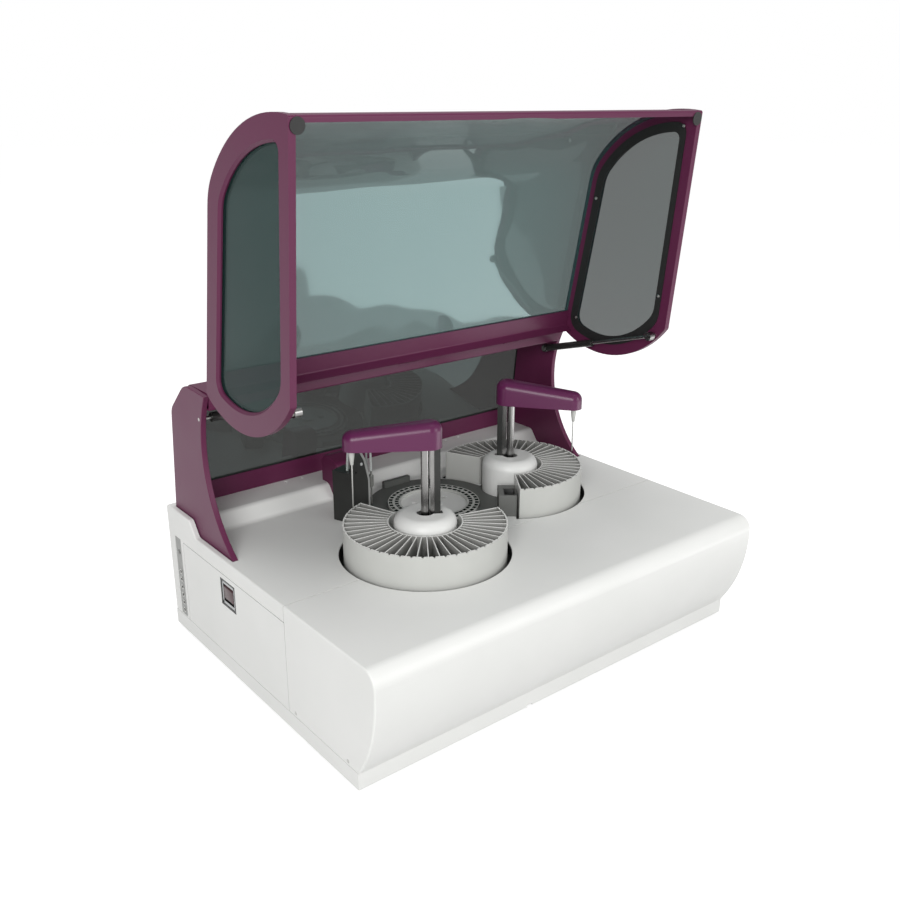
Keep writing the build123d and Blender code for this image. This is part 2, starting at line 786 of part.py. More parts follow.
def make_tray(name, centre, start):
    place = Pos(*centre, 0)
    end = start + tray_span
    floor = deck_z - well_depth
    tray = rise(sector(tray_in_r, tray_r, start, end), floor + gap, deck_z + tray_rise)
    hollow = sector(tray_in_r + tray_wall, tray_r - tray_wall, start + tray_end, end - tray_end)
    tray -= rise(hollow, floor + gap + tray_floor, deck_z + tray_rise)
    piece(name + "_tray", place * tray)
    fins = []
    for i in range(1, slots):
        angle = start + i * slot_angle
        r0, r1 = tray_in_r + tray_wall + gap, tray_r - tray_wall - gap
        fin = block(r0, r1, -fin_t / 2, fin_t / 2, floor + gap + tray_floor, deck_z + tray_rise)
        fins.append(place * Rot(0, 0, angle) * fin)
    piece(name + "_tray_dividers", *fins)
    a0, a1 = start - well_end, end + well_end
    outer = sector(dome_r + 1, opening_r + well_wall, a0 - 1.5, a1 + 1.5)
    well = rise(outer, floor - wall, deck_under)
    well -= rise(sector(dome_r + collar, opening_r, a0, a1), floor, deck_under)
    ring = post(0, 0, floor - wall, deck_z, dome_r + collar)
    well += ring - post(0, 0, floor - wall, deck_z, dome_r + 1)
    return place * well


def make_turret(name, centre, start, arm_dir):
    place = Pos(*centre, 0) * Rot(0, 0, arm_dir)
    top = deck_z + dome_rise
    floor = deck_z - well_depth - wall
    low = deck_z + dome_up

    def dome_solid(inset):
        r, cap = dome_r - inset, top - inset
        side = shape([(0, low), (r, low), (r, cap), (0, cap)], [0, 0, dome_r - dome_top_r, 0])
        return revolve(Plane.XZ * side, Axis.Z)

    slot_w, slot_d = column_w + keyhole_play, column_out + keyhole_play
    keyhole = post(0, 0, low, top + 1, keyhole_r)
    keyhole += block(-slot_d, 0, -slot_w / 2, slot_w / 2, top - keyhole_drop, top + 1)
    dome = dome_solid(0) - dome_solid(dome_wall) - keyhole
    inner = dome_r - dome_wall - gap
    piece(name + "_dome", place * dome)
    flange_low = deck_z + flange_up
    hub_top = flange_low + flange_t
    hub = post(0, 0, flange_low, hub_top, inner)
    hub += post(0, 0, flange_low - spindle_len, flange_low, spindle_r - run)
    hub -= post(0, 0, 0, hub_top, shaft_r + run)
    hub -= block(-column_out - gap, -column_back + column_d / 2 + gap, -column_w / 2 - gap,
                 column_w / 2 + gap, 0, hub_top)
    hub -= block(-rail_mid - rail_d / 2 - 1, -rail_mid + rail_d / 2 + gap, -rail_w / 2 - gap,
                 rail_w / 2 + gap, 0, hub_top)
    piece(name + "_turret_hub", place * hub)
    low, mid = floor - drive_h, floor - drive_h + drive_block_h / 2
    drive = post(0, 0, low, deck_under - gap, spindle_r + housing_t)
    drive += post(0, 0, floor - drive_flange_t, floor, drive_flange_r)
    drive += Pos(0, 0, mid) * Box(drive_w, drive_w, drive_block_h)
    drive += Pos((drive_w + motor_len) / 2, 0, mid) * Box(motor_len, motor_w, motor_w)
    drive -= post(0, 0, low, deck_z, spindle_r)
    return Pos(*centre, 0) * Rot(0, 0, start + tray_span / 2) * drive


def make_arm(name, centre, arm_dir, arm_rise, arm_h, needle_len):
    place = Pos(*centre, 0) * Rot(0, 0, arm_dir)
    under = deck_z + arm_rise

    def plan(inset):
        tail = Pos(arm_post_r - arm_tail, 0) * Circle(arm_post_r - inset)
        tip = Pos(arm_nose - arm_tip_r, 0) * Circle(arm_tip_r - inset)
        return make_hull(tail.edges() + tip.edges())

    cover = rise(plan(0), under, under + arm_h)
    drop = arm_h - arm_tip_h
    fall = degrees(atan2(drop, arm_nose))
    wedge = block(-2 * arm_tail, 2 * arm_nose, -arm_nose, arm_nose, 0, arm_h)
    cover -= Pos(0, 0, under + arm_h - drop * arm_tail / arm_nose) * Rot(0, fall, 0) * wedge
    tops = [e for e in cover.edges() if e.center().Z > under + arm_tip_h / 2]
    cover = fillet(tops, arm_round)
    cover -= rise(plan(arm_wall), under, under + arm_tip_h - arm_round - arm_wall)
    piece(name + "_arm_cover", place * cover)
    low, top = deck_z - column_drop, under + carrier_up
    carrier = rise(plan(arm_wall + gap), top, top + carrier_t)
    spindle_low = deck_z + flange_up - spindle_len
    shaft = post(0, 0, spindle_low - shaft_tail, top, shaft_r)
    carrier += block(-column_out, -column_back + column_d / 2, -column_w / 2, column_w / 2,
                     low, top)
    piece(name + "_arm_carrier", place * carrier)
    rail = block(-rail_mid - rail_d / 2, -rail_mid + rail_d / 2, -rail_w / 2, rail_w / 2, low, top)
    for i in range(int((arm_rise - rail_first - rail_d) / rail_pitch) + 1):
        z = deck_z + rail_first + i * rail_pitch
        rail -= pin(-rail_mid - rail_d, -rail_mid + rail_d, 0, z, rail_hole_r)
    piece(name + "_arm_shafts", place * shaft, place * rail)
    hub = Pos(arm_reach, 0, top - hub_len / 2) * Cone(hub_tip_r, hub_root_r, hub_len)
    needle = post(arm_reach, 0, top - hub_len - needle_len, top - hub_len, needle_r)
    piece(name + "_probe", place * (hub + needle))


# Reaction disk

def make_disk():
    place = Pos(0, disk_y, 0)
    top = deck_z + ring_rise
    low = top - ring_h
    ring = post(0, 0, low, top, ring_r) - post(0, 0, low, top, ring_in)
    pitch = 360 / cuvettes
    cups = []
    for i in range(cuvettes):
        cup = block(row_r - cuvette_l / 2, row_r + cuvette_l / 2, -cuvette_w / 2, cuvette_w / 2,
                    top - cuvette_deep, top)
        cups.append(Rot(0, 0, front_dir + i * pitch) * cup)
        inner = block(row_r - row_step - cuvette_l / 2, row_r - row_step + cuvette_l / 2,
                      -cuvette_w / 2 + 0.5, cuvette_w / 2 - 0.5, top - cuvette_deep, top)
        cups.append(Rot(0, 0, front_dir + (i + 0.5) * pitch) * inner)
    ring -= cups
    piece("cuvette_ring", place * ring)
    disc_low, disc_top = deck_z + disc_up - disc_t, deck_z + disc_up
    disc = post(0, 0, disc_low, disc_top, ring_in - gap)
    disc += post(0, 0, disc_top, disc_top + cap_t, cap_r)
    for angle in (20, 140, 260):
        disc -= Rot(0, 0, angle) * block(30, 42, -4, 4, disc_low, disc_top)
    disc += post(0, 0, low, disc_low, sleeve_r)
    disc += post(0, 0, low - rotor_tail, low, rotor_shaft_r)
    piece("rotor_disc", place * disc)
    well_low = low - wall
    cup = post(0, 0, well_low - wall, deck_under, well_r + wall)
    cup -= post(0, 0, well_low, deck_under, well_r)
    cup -= post(0, 0, well_low - wall, well_low, 2 * rotor_shaft_r)
    piece("incubator_well", place * cup)
    motor = Box(rotor_motor_w, rotor_motor_w, rotor_motor_h)
    motor = Pos(0, 0, well_low - wall - rotor_motor_h / 2) * motor
    motor -= post(0, 0, low - rotor_tail - wall, well_low, rotor_shaft_r + run)
    cover = post(0, 0, deck_z, deck_z + cover_t, cover_r)
    cover -= post(0, 0, deck_z, deck_z + cover_t, ring_r + slot_play)
    cover = place * cover - post(*rear_centre, deck_z, deck_z + cover_t, dome_r + slot_play)
    cover -= reader_place() * block(*reader_box(gap), deck_z, deck_z + cover_t)
    for x, y in wash_ports():
        cover -= post(x, y, deck_z, deck_z + cover_t, hole_r)
    lip_back = disk_y + cover_r + 1
    lip = block(-lip_w / 2, lip_w / 2, lip_back - 3 * cover_t, lip_back, deck_z, deck_z + lip_h)
    piece("disk_cover", cover + lip)
    back = disk_y - well_r - wall - gap
    photometer = block(-photometer_w / 2, photometer_w / 2, back - photometer_d, back,
                       deck_under - photometer_h, deck_under)
    piece("photometer", photometer)
    return place * motor


def reader_place():
    """Beside the lower end wall of the rear tray."""
    return Pos(*rear_centre, 0) * Rot(0, 0, rear_start - well_end - reader_turn)


def reader_box(extra):
    x0, y1 = reader_in, reader_side
    return x0 - extra, x0 + reader_len + extra, y1 - reader_w - extra, y1 + extra


def make_reader():
    x0, x1, y0, y1 = reader_box(0)
    box = block(x0, x1, y0, y1, deck_z, deck_z + reader_h)
    top = deck_z + reader_h
    box -= block(x0 + pocket_near, x1 - pocket_far, y0 + pocket_low, y1 - pocket_high,
                 top - pocket_deep, top)
    piece("reader_box", reader_place() * box)


# Wash station

def wash_place():
    return Pos(wash_x, wash_y, 0) * Rot(0, 0, wash_turn)


def wash_ports():
    """Nozzle places in plan."""
    spots = []
    for i in (0, 1):
        y = nozzle_in + i * nozzle_pitch
        c, s = cos(radians(wash_turn)), sin(radians(wash_turn))
        spots.append((wash_x + c * port_x - s * y, wash_y + s * port_x + c * y))
    return spots


def wash_side():
    """Outline of the side plate, x along the plate and z up."""
    return [(0, deck_z), (wash_w, deck_z), (wash_w, deck_z + 70), (wash_w - 12, deck_z + 112),
            (wash_w - 26, deck_z + wash_plate_h), (0, deck_z + wash_plate_h)]


def upright_plate(outline, y0, y1):
    """Push an outline drawn in x and z from y0 to y1."""
    return extrude(Plane.XZ.offset(-y0) * outline, y1 - y0, dir=(0, 1, 0))


def make_wash():
    place = wash_place()
    column = block(0, wash_w - column_short, wash_plate_t, wash_d, deck_z, deck_z + wash_h)
    plate = shape(wash_side(), [0, 0, 4, 4, 4, 0])
    side = upright_plate(plate, 0, wash_plate_t)
    side -= Pos(14, 0, deck_z + 96) * Rot(90, 0, 0) * Cylinder(2.6, 40)
    piece("wash_column", place * (column + side))
    strip = offset(plate, bracket_t + gap) - offset(plate, gap)
    x0, x1 = wash_w - bracket_in, wash_w + 2 * bracket_t
    z0, z1 = deck_z + cover_t + 1, deck_z + 2 * wash_h
    strip &= shape([(x0, z0), (x1, z0), (x1, z1), (x0, z1)])
    bracket = upright_plate(strip, 0, bracket_d)
    guide_x = wash_w + bracket_t + gap
    guide = block(guide_x, guide_x + guide_t, guide_in, bracket_d - guide_in, z0, deck_z + guide_top)
    piece("wash_bracket", place * (bracket + guide))
    head_x = guide_x + guide_t + gap
    head_z = deck_z + head_up
    head = block(head_x, head_x + head_w, 1, bracket_d + 1, head_z, head_z + head_h)
    top = head_z + head_h + nipple_len
    tubes = []
    for i in (0, 1):
        y = nozzle_in + i * nozzle_pitch
        head += post(port_x, y, head_z - nozzle_len, head_z, nozzle_r)
        head += post(port_x, y, head_z + head_h, top, nipple_r)
        x0, y0 = 12 + i * 9, 18 + i * 4
        crest = deck_z + wash_h + tube_rise - i * 6
        path = FilletPolyline((x0, y0, deck_z + wash_h), (x0, y0, crest), (port_x, y, crest),
                              (port_x, y, top + gap), radius=tube_bend)
        tubes.append(place * sweep(Plane(path @ 0, z_dir=(0, 0, 1)) * Circle(tube_r), path))
    piece("wash_head", place * head)
    piece("wash_tubes", *tubes)
    x0, x1 = wash_x + housing_in, wash_x + housing_in + housing_w
    side = shape([(slope_y - 14, deck_z - 5), (crease_y + 24, deck_z - 5),
                  (crease_y + 24, deck_z + housing_h), (slope_y - 14, deck_z + housing_h - 16)],
                 [0, 0, 20, 16])
    shell = fillet(across(side, x0, x1).faces().filter_by(Axis.X).edges(), 3)
    piece("wash_housing", shell - across(offset(housing_outline(0, 0), gap), x0 - 1, x1 + 1))


# Inside the body

def make_inner():
    supply = block(-half_w + 34, -half_w + 150, 30, 150, floor_z, floor_z + 70)
    piece("power_supply", supply)
    right, back = half_w - board_in, body_back - board_back
    left, front = right - board_w, back - board_d
    under, top = floor_z + board_rise, floor_z + board_rise + board_t
    board = block(left, right, front, back, under, top)
    for x in (left + board_edge, right - board_edge):
        for y in (front + board_edge, back - board_edge):
            board += post(x, y, floor_z, under, 4)
    for x, y, w, h in ((50, 40, 30, 10), (120, 60, 40, 6), (190, 40, 24, 14)):
        board += block(left + x, left + x + w, front + y, front + y + w, top, top + h)
    piece("control_board", board)
    pumps = []
    for x in (pump_in - half_w, pump_in + 60 - half_w):
        pump = block(x, x + 44, -220, -150, floor_z, floor_z + 60)
        pump += post(x + 22, -185, floor_z + 60, floor_z + 105, 16)
        pump += post(x + 22, -185, floor_z + 105, floor_z + 115, 5)
        pumps.append(pump)
    piece("dosing_pumps", *pumps)


make_base()
make_housing()
make_front_cover()
make_left_fittings()
make_uprights()
make_lid()
make_gas_springs()
wells, motors = [], []
for name, (centre, start, arm_dir, arm_rise, arm_h, needle) in turrets.items():
    wells.append(make_tray(name, centre, start))
    motors.append(make_turret(name, centre, start, arm_dir))
    make_arm(name, centre, arm_dir, arm_rise, arm_h, needle)
piece("tray_wells", *wells)
motors.append(make_disk())
piece("drive_motors", *motors)
make_reader()
make_wash()
make_inner()

os.makedirs("parts", exist_ok=True)
for name, solids in pieces.items():
    export_step(solids, "parts/" + name + ".step")
print(len(pieces), "pieces")
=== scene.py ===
import math

import bmesh
import bpy
from mathutils import Matrix, Vector


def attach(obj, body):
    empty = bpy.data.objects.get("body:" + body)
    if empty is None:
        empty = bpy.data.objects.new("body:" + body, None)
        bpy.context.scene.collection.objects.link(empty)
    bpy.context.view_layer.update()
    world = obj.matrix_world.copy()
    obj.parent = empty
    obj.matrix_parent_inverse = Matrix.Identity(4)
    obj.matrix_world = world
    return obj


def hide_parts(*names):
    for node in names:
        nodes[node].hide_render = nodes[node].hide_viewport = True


# Benchtop chemistry analyzer, dressed for its picture. Metres, same frame as the solids.

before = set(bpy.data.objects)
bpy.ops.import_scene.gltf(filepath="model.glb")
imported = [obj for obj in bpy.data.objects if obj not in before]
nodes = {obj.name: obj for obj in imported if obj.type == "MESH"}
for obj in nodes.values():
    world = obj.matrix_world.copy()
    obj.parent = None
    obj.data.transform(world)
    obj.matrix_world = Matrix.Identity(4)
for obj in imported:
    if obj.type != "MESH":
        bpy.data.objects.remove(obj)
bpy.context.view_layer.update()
scene = bpy.context.scene
print("frame loaded, solids:", len(nodes))


def linear(hexText):
    parts = [int(hexText[i:i + 2], 16) / 255 for i in (1, 3, 5)]
    return tuple(c / 12.92 if c < 0.04045 else ((c + 0.055) / 1.055) ** 2.4 for c in parts) + (1.0,)


def addNode(tree, kind, settings=None, links=None):
    node = tree.nodes.new(kind)
    for key, value in (settings or {}).items():
        if key in node.inputs:
            node.inputs[key].default_value = value
        else:
            setattr(node, key, value)
    for key, source in (links or {}).items():
        tree.links.new(source, node.inputs[key])
    return node


def newMaterial(name):
    mat = bpy.data.materials.new(name)
    mat.use_nodes = True
    tree = mat.node_tree
    tree.nodes.clear()
    shader = addNode(tree, "ShaderNodeBsdfPrincipled")
    output = addNode(tree, "ShaderNodeOutputMaterial")
    tree.links.new(shader.outputs["BSDF"], output.inputs["Surface"])
    return mat, tree, shader, addNode(tree, "ShaderNodeTexCoord").outputs["Object"]


def noise(tree, place, periodMm, detail):
    return addNode(tree, "ShaderNodeTexNoise", {"Scale": 1000 / periodMm, "Detail": detail},
                   {"Vector": place})


def bumped(tree, shader, source, strength, depth):
    bump = addNode(tree, "ShaderNodeBump", {"Strength": strength, "Distance": depth},
                   {"Height": source.outputs["Fac"]})
    tree.links.new(bump.outputs["Normal"], shader.inputs["Normal"])


# what a skin has where its own look doesn't say otherwise
usualSkin = {"spread": 0.06, "metallic": 0.0, "ior": 1.5, "specular": 0.5, "coat": 0.0, "coatRough": 0.1,
             "alpha": 1.0, "mottleDetail": 3.0, "grainDetail": 2.0, "grainDepth": 0.0004}


# moulded or painted skin: a slow change of tone and gloss, and a fine grain in the relief
def skin(name, ownLook):
    look = usualSkin | ownLook
    mat, tree, shader, place = newMaterial(name)
    mottle = noise(tree, place, look["mottleMm"], look["mottleDetail"])
    # sockets 6 and 7 are the two colours that this node mixes
    tone = addNode(tree, "ShaderNodeMix", {"data_type": "RGBA"}, {"Factor": mottle.outputs["Fac"]})
    tone.inputs[6].default_value = linear(look["colour"])
    tone.inputs[7].default_value = linear(look["worn"])
    tree.links.new(tone.outputs[2], shader.inputs["Base Color"])
    low, high = look["roughness"] - look["spread"], look["roughness"] + look["spread"]
    gloss = addNode(tree, "ShaderNodeMapRange", {"To Min": low, "To Max": high},
                    {"Value": mottle.outputs["Fac"]})
    tree.links.new(gloss.outputs["Result"], shader.inputs["Roughness"])
    grain = noise(tree, place, look["grainMm"], look["grainDetail"])
    bumped(tree, shader, grain, look["bump"], look["grainDepth"])
    shader.inputs["Metallic"].default_value = look["metallic"]
    if not look["metallic"]:
        shader.inputs["IOR"].default_value = look["ior"]
    shader.inputs["Specular IOR Level"].default_value = look["specular"]
    shader.inputs["Coat Weight"].default_value = look["coat"]
    shader.inputs["Coat Roughness"].default_value = look["coatRough"]
    shader.inputs["Alpha"].default_value = look["alpha"]
    return mat


acrylicLook = {"ior": 1.49, "tint": "#D8FFFF", "waveDetail": 1.0, "waveDepth": 0.01}


# smoked acrylic: thin, dark to look through, a mirror at its skin with the slow waves of a bent sheet
def smokedAcrylic(name, look):
    mat, tree, shader, place = newMaterial(name)
    shader.inputs["Base Color"].default_value = linear(look["colour"])
    shader.inputs["Alpha"].default_value = look["alpha"]
    shader.inputs["Roughness"].default_value = look["roughness"]
    shader.inputs["IOR"].default_value = acrylicLook["ior"]
    shader.inputs["Specular Tint"].default_value = linear(acrylicLook["tint"])
    shader.inputs["Specular IOR Level"].default_value = look["specular"]
    wave = noise(tree, place, look["waveMm"], acrylicLook["waveDetail"])
    bumped(tree, shader, wave, look["wave"], acrylicLook["waveDepth"])
    return mat


looks = {
    # ABS shells, spark-textured moulding: matt, almost white
    "paleAbs": {"colour": "#DDDDDB", "worn": "#D5D6D3", "roughness": 0.42,
                "mottleMm": 140, "grainMm": 1.6, "bump": 0.05},
    # polystyrene trays: smoother, a little darker
    "whitePolystyrene": {"colour": "#BDBEBA", "worn": "#B5B6B2", "roughness": 0.35,
                         "mottleMm": 40, "grainMm": 1.2, "bump": 0.04},
    # their slot walls, darkened with painted shade, and their upper edges, brightened with a painted
    # highlight
    "trayPaintedShade": {"colour": "#8C8C89", "worn": "#82827F", "roughness": 0.45,
                  "mottleMm": 30, "grainMm": 1.2, "bump": 0.03},
    "trayPaintedHighlight": {"colour": "#E6E6E3", "worn": "#DDDDDA", "roughness": 0.3,
                 "mottleMm": 30, "grainMm": 1.2, "bump": 0.02},
    # purple painted steel: satin, a little dusty
    "purplePaint": {"colour": "#57203F", "worn": "#5D2645", "roughness": 0.38,
                    "mottleMm": 90, "grainMm": 1.4, "bump": 0.03, "specular": 0.25},
    # purple ABS of the arms: same colour, glossier
    "purpleAbs": {"colour": "#561B45", "worn": "#5A1F49", "roughness": 0.3,
                  "mottleMm": 120, "grainMm": 1.2, "bump": 0.01,
                  "spread": 0.03, "specular": 0.3, "coat": 0.1, "coatRough": 0.2},
    # charcoal nylon of the disk cover
    "charcoalNylon": {"colour": "#50524F", "worn": "#5A5C59", "roughness": 0.5,
                      "mottleMm": 30, "grainMm": 1.0, "bump": 0.1},
    # moulded ABS of the small housings, black and grey, and of the plate in the power module
    "blackAbs": {"colour": "#1B1C1B", "worn": "#262725", "roughness": 0.38,
                 "mottleMm": 30, "grainMm": 1.0, "bump": 0.08},
    "greyAbs": {"colour": "#5C5D5B", "worn": "#666764", "roughness": 0.45,
                "mottleMm": 30, "grainMm": 1.0, "bump": 0.06},
    "palePlate": {"colour": "#B9BBBB", "worn": "#AEB0B0", "roughness": 0.4,
                  "mottleMm": 20, "grainMm": 1.0, "bump": 0.04},
    # dark red ABS of the rocker's upper half
    "redAbs": {"colour": "#35151A", "worn": "#40191F", "roughness": 0.3,
               "mottleMm": 10, "grainMm": 1.0, "bump": 0.03},
    # painted shade: a dark colour standing for the shaded inside of the glass cuvettes
    "cuvettePaintedShade": {"colour": "#1E2622", "worn": "#2C3430", "roughness": 0.2,
                      "mottleMm": 8, "grainMm": 1.0, "bump": 0.02},
    # rubber of feet, gaskets and lid pads
    "blackRubber": {"colour": "#141414", "worn": "#1D1D1C", "roughness": 0.62,
                    "mottleMm": 20, "grainMm": 0.9, "bump": 0.15},
    # metals: chrome posts and rods, drawn steel, milled aluminium
    "polishedChrome": {"colour": "#929190", "worn": "#898887", "roughness": 0.24,
                       "mottleMm": 30, "grainMm": 1.0, "bump": 0.01, "spread": 0.03, "metallic": 1.0},
    "drawnSteel": {"colour": "#BDBDBA", "worn": "#AEAEAB", "roughness": 0.3,
                   "mottleMm": 12, "grainMm": 0.8, "bump": 0.05, "metallic": 1.0},
    "milledAluminium": {"colour": "#C4C5C6", "worn": "#B5B6B7", "roughness": 0.36,
                        "mottleMm": 10, "grainMm": 0.8, "bump": 0.06, "metallic": 1.0},
    # grey paint on zinc-plated sheet
    "zincPaint": {"colour": "#9B9C9A", "worn": "#8F908E", "roughness": 0.5,
                  "mottleMm": 30, "grainMm": 1.0, "bump": 0.08},
    # solder mask of the board
    "boardGreen": {"colour": "#1F4A2C", "worn": "#2B5A38", "roughness": 0.4,
                   "mottleMm": 12, "grainMm": 1.0, "bump": 0.05},
    # milky silicone tube, half clear
    "milkySilicone": {"colour": "#C4CBC8", "worn": "#D3D9D6", "roughness": 0.18,
                      "mottleMm": 12, "grainMm": 1.0, "bump": 0.02, "alpha": 0.55},
}
acrylics = {
    # the lid's bent sheet, seen against the light
    "smokedSheet": {"colour": "#2E5452", "alpha": 0.69, "roughness": 0.045, "specular": 0.9,
                    "waveMm": 150, "wave": 0.3},
    # flat panes in the sides of the lid
    "smokedPane": {"colour": "#16322F", "alpha": 0.62, "roughness": 0.02, "specular": 0.12,
                   "waveMm": 220, "wave": 0.08},
    # thick bent pane between the uprights
    "smokedRear": {"colour": "#20241F", "alpha": 0.80, "roughness": 0.03, "specular": 0.6,
                   "waveMm": 150, "wave": 0.25},
}
finish = {name: skin(name, look) for name, look in looks.items()}
finish.update({name: smokedAcrylic(name, look) for name, look in acrylics.items()})
print("materials made:", len(finish))

wearing = {
    "paleAbs": "plinth_frame main_shell side_panels rear_panel front_cover front_dome rear_dome rotor_disc",
    "whitePolystyrene": "front_tray front_tray_dividers rear_tray rear_tray_dividers cuvette_ring",
    "purplePaint": "uprights base_bar cross_beam lid_side_panels lid_front_bar lid_rear_bar wash_housing",
    "purpleAbs": "front_arm_cover rear_arm_cover",
    "charcoalNylon": "disk_cover",
    "blackAbs": ("tray_wells power_module power_rocker photometer wash_column front_arm_carrier "
                 "rear_arm_carrier spring_barrels"),
    "greyAbs": "reader_box dosing_pumps",
    "blackRubber": "rubber_feet window_gaskets corner_pads",
    "polishedChrome": "spring_rods front_arm_shafts rear_arm_shafts",
    "drawnSteel": ("body_screws fluid_ports hinge_pins spring_bolts lid_studs front_probe rear_probe "
                   "wash_head"),
    "milledAluminium": "drive_motors incubator_well front_turret_hub rear_turret_hub",
    "zincPaint": "chassis power_supply wash_bracket connector_strip",
    "boardGreen": "control_board",
    "milkySilicone": "wash_tubes",
    "smokedSheet": "lid_sheet",
    "smokedPane": "side_windows",
    "smokedRear": "rear_window",
}
for name, worn in wearing.items():
    for node in worn.split():
        for slot in nodes[node].material_slots:
            slot.material = finish[name]
print("solids dressed")

# tests on points and directions: touching, close by, a long edge, facing a way, squarely facing it
near = 0.0001
closeBy = 0.001
longEdge = 0.01
facing = 0.9
squarely = 0.99


# modelling steps shared by the pieces
def start(name, kind, **size):
    if bpy.context.mode != "OBJECT":
        bpy.ops.object.mode_set(mode="OBJECT")
    bpy.ops.object.select_all(action="DESELECT")
    getattr(bpy.ops.mesh, "primitive_" + kind + "_add")(**size)
    made = bpy.context.object
    made.name = name
    bpy.ops.object.transform_apply(location=True, rotation=True, scale=True)
    return made


def choose(made):
    bpy.ops.object.select_all(action="DESELECT")
    made.select_set(True)
    bpy.context.view_layer.objects.active = made


def edit(made):
    choose(made)
    bpy.ops.object.mode_set(mode="EDIT")
    bpy.ops.mesh.select_all(action="SELECT")


def done():
    bpy.ops.object.mode_set(mode="OBJECT")


# picks the faces, edges or points whose middle and direction pass the test
def pick(made, what, test):
    modes = {"faces": "FACE", "edges": "EDGE", "verts": "VERT"}
    bpy.ops.mesh.select_mode(type=modes[what])
    bpy.ops.mesh.select_all(action="DESELECT")
    mesh = bmesh.from_edit_mesh(made.data)
    for part in getattr(mesh, what):
        if what == "faces":
            part.select_set(test(part.calc_center_median(), part.normal))
        elif what == "edges":
            ends = [v.co for v in part.verts]
            part.select_set(test((ends[0] + ends[1]) / 2, ends[1] - ends[0]))
        else:
            part.select_set(test(part.co, part.normal))
    mesh.select_flush_mode()
    bmesh.update_edit_mesh(made.data)


# a windowless Blender turns the other way, so the angle is negative
def moveAll(made, by=(0, 0, 0), turnDeg=0.0, axis="Z", about=(0, 0, 0)):
    edit(made)
    if turnDeg:
        bpy.ops.transform.rotate(value=-math.radians(turnDeg), orient_axis=axis, center_override=about)
    bpy.ops.transform.translate(value=by)
    done()


def push(by):
    bpy.ops.mesh.extrude_region_move(TRANSFORM_OT_translate={"value": by})


def modify(made, kind, **settings):
    choose(made)
    modifier = made.modifiers.new(kind.lower(), kind)
    for key, value in settings.items():
        setattr(modifier, key, value)
    bpy.ops.object.modifier_apply(modifier=modifier.name)


def roundEdges(made, width, sharpDeg):
    modify(made, "BEVEL", width=width, segments=2, limit_method="ANGLE", angle_limit=math.radians(sharpDeg))


def copyOf(made, name):
    choose(made)
    bpy.ops.object.duplicate(linked=False)
    bpy.context.object.name = name
    return bpy.context.object


def joined(name, parts):
    bpy.ops.object.select_all(action="DESELECT")
    for part in parts:
        part.select_set(True)
    bpy.context.view_layer.objects.active = parts[0]
    if len(parts) > 1:
        bpy.ops.object.join()
    parts[0].name = name
    return parts[0]


def smooth(made, deg):
    choose(made)
    bpy.ops.object.shade_smooth_by_angle(angle=math.radians(deg))


def outward(made):
    edit(made)
    bpy.ops.mesh.remove_doubles(threshold=0.00001)
    bpy.ops.mesh.normals_make_consistent(inside=False)
    done()


def boxPiece(name, low, high):
    made = start(name, "cube", size=1)
    edit(made)
    bpy.ops.transform.resize(value=[b - a for a, b in zip(low, high)])
    bpy.ops.transform.translate(value=[(a + b) / 2 for a, b in zip(low, high)])
    done()
    return made


# a pocket in the top of a box
def hollowTop(made, rim, deep):
    edit(made)
    pick(made, "faces", lambda co, normal: normal.z > facing)
    bpy.ops.mesh.inset(thickness=rim)
    push((0, 0, -deep))
    done()


def dress(made, body, finishName, slot, *instead):
    made.data.materials.clear()
    made.data.materials.append(finish[finishName])
    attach(made, body)
    if instead:
        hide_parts(*instead)


def paint(made, finishName):
    made.data.materials.append(finish[finishName])
    made.active_material_index = len(made.data.materials) - 1
    bpy.ops.object.material_slot_assign()


# trays: thin fins between two walls, the outer rim nicked between the fins
trays = {
    "front": {"centre": (-0.13552, -0.07194), "start": 107.25},
    "rear": {"centre": (0.16603, 0.04902), "start": -124.25},
}
trayLook = {"innerR": 0.0625, "outerR": 0.1405, "wall": 0.0025, "low": 0.2033, "top": 0.2800,
            "floor": 0.0030, "floorIn": 0.001, "floorInDeg": 0.2, "slots": 32, "slotDeg": 7.5,
            "fin": 0.0019, "finShort": 0.0005, "finRound": 0.0004, "nick": 0.0024, "nickDeg": 0.5,
            "perSlot": 8, "edge": 0.0007, "edgeTilt": 0.3, "endDeg": 0.5, "overlap": 0.0002}


def spunWall(name, inner, outer, low, high, first, span, steps):
    made = start(name, "plane", size=1)
    edit(made)
    bpy.ops.transform.rotate(value=math.pi / 2, orient_axis="X", center_override=(0, 0, 0))
    bpy.ops.transform.resize(value=(outer - inner, 1, high - low))
    bpy.ops.transform.translate(value=((inner + outer) / 2, 0, (low + high) / 2))
    bpy.ops.mesh.spin(steps=steps, angle=-math.radians(span), center=(0, 0, 0), axis=(0, 0, 1))
    done()
    outward(made)
    moveAll(made, turnDeg=first)
    return made


# the first and last fins close the tray's ends: they are as thick as its walls and lie inside it
def trayFin(side, count, first):
    look = trayLook
    closing = count in (0, look["slots"])
    thick = look["wall"] if closing else look["fin"]
    long = look["outerR"] - look["innerR"] - look["wall"]
    fin = start(side + "Fin", "cube", size=1)
    edit(fin)
    bpy.ops.transform.resize(value=(long, thick, look["top"] - look["low"] - look["finShort"]))
    bpy.ops.transform.translate(value=(look["innerR"] + look["wall"] / 2 + long / 2,
                                       thick / 2 * ((count == 0) - (count == look["slots"])),
                                       (look["top"] + look["low"]) / 2))
    pick(fin, "edges", lambda co, along: co.z > look["top"] - closeBy and abs(along.x) > longEdge)
    bpy.ops.mesh.bevel(offset=look["finRound"], segments=2, affect="EDGES")
    done()
    moveAll(fin, turnDeg=first + count * look["slotDeg"])
    return fin


